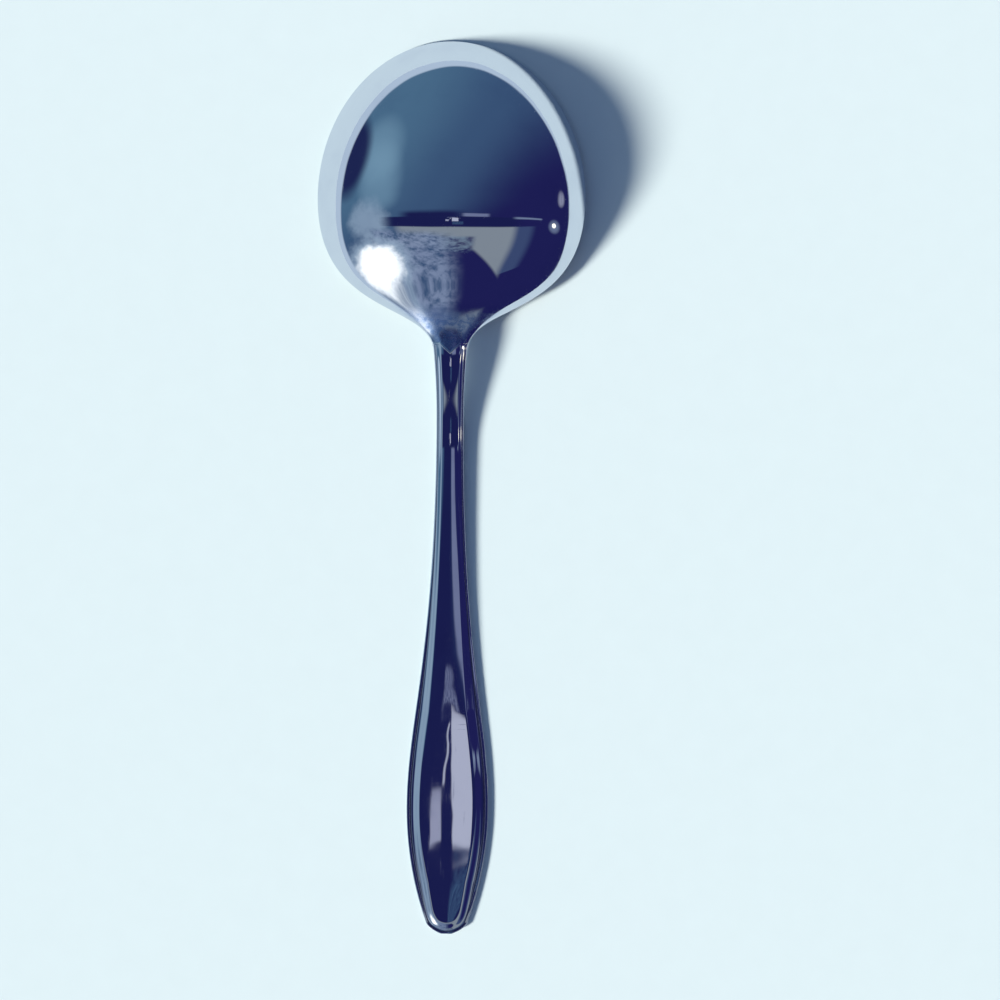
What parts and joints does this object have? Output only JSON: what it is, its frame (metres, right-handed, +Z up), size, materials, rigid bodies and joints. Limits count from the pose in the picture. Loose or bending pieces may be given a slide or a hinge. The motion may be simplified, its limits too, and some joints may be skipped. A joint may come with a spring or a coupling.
{
  "type": "serving spoon",
  "caption": "Round-bowl serving spoon in polished silver-coloured metal, lying face down: a deep dished bowl soldered to a bordered handle that widens towards a blunt tip.",
  "frame": {"origin": "under the middle of the spoon's length and width, on the surface that it lies on", "axes": "+Z up, away from the surface, out of the back of the bowl; +Y along the spoon towards the tip of the bowl; X across the spoon"},
  "size_m": [0.0646, 0.216, 0.0184],
  "materials": {
    "bowl_silver": "mirror-polished silver plate with fine hairline scratches",
    "handle_silver": "polished silver plate, worn a little on the step and darker in the groove"
  },
  "bodies": {
    "root": {"bowl": "bowl_silver", "handle": "handle_silver"}
  },
  "joints": []
}
